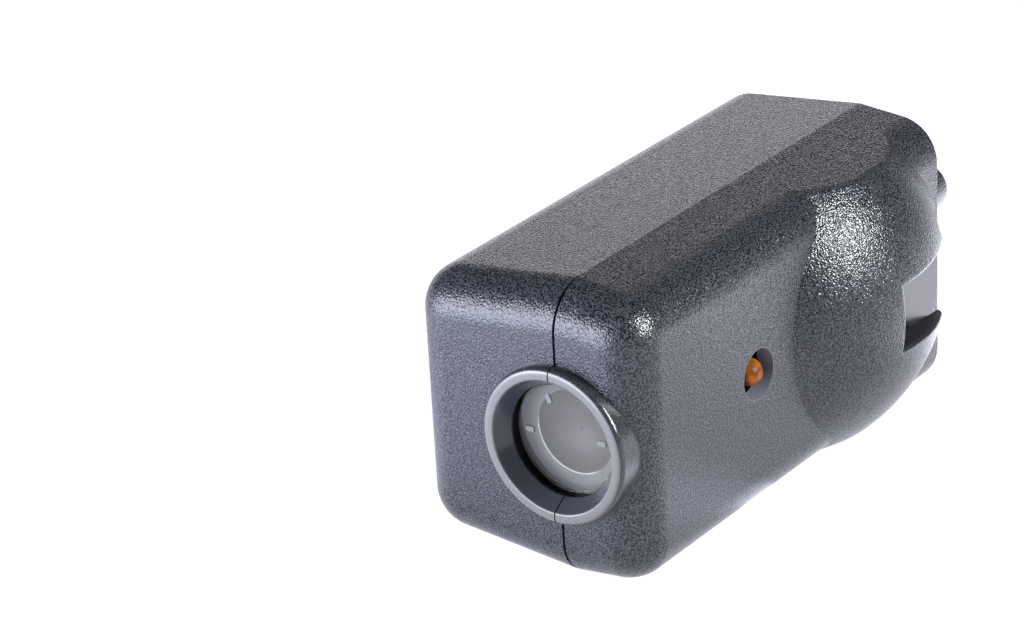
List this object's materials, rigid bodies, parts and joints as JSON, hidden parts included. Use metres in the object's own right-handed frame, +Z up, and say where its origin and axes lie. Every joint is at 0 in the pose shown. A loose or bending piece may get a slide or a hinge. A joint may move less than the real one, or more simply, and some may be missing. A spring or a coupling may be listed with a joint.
{
  "type": "garage door safety sensor",
  "caption": "Boxy clamshell housing with a round lens in a raised ring, an amber indicator lamp and a domed bolt slot in one side; sends an infrared beam across a doorway.",
  "frame": {"origin": "on the bolt axis, at the floor of the bolt slot, which is flush with the housing's right side", "axes": "+X out of the right side along the bolt, +Y to the rear, the way the bolt slides out of its slot, +Z up; the lens faces -Y"},
  "size_m": [0.035, 0.065, 0.033],
  "materials": {
    "housing": "fine leathery texture",
    "lens": "smoky clear, polished",
    "emitter": "clear, bluish",
    "amber_lamp": "tinted, diffused",
    "black_plastic": "moulded, matt",
    "board": "solder resist on glass fibre",
    "tinned_wire": "tinned",
    "capacitor_sleeve": "shrunk sleeve",
    "ceramic_coat": "dipped",
    "resistor_coat": "lacquer"
  },
  "bodies": {
    "root": {"left_shell": "housing", "right_shell": "housing", "lens": "lens", "emitter_holder": "black_plastic", "ir_emitter": "emitter", "emitter_leads": "tinned_wire", "indicator_led": "amber_lamp", "indicator_leads": "tinned_wire", "indicator_spacer": "black_plastic", "circuit_board": "board", "timer_chip": "black_plastic", "chip_pins": "tinned_wire", "driver_transistor": "black_plastic", "driver_leads": "tinned_wire", "voltage_regulator": "black_plastic", "regulator_leads": "tinned_wire", "storage_capacitor": "capacitor_sleeve", "capacitor_leads": "tinned_wire", "ceramic_capacitors": "ceramic_coat", "ceramic_leads": "tinned_wire", "resistors": "resistor_coat", "resistor_leads": "tinned_wire", "rectifier_diodes": "black_plastic", "diode_leads": "tinned_wire", "wire_terminals": "tinned_wire"}
  },
  "joints": []
}
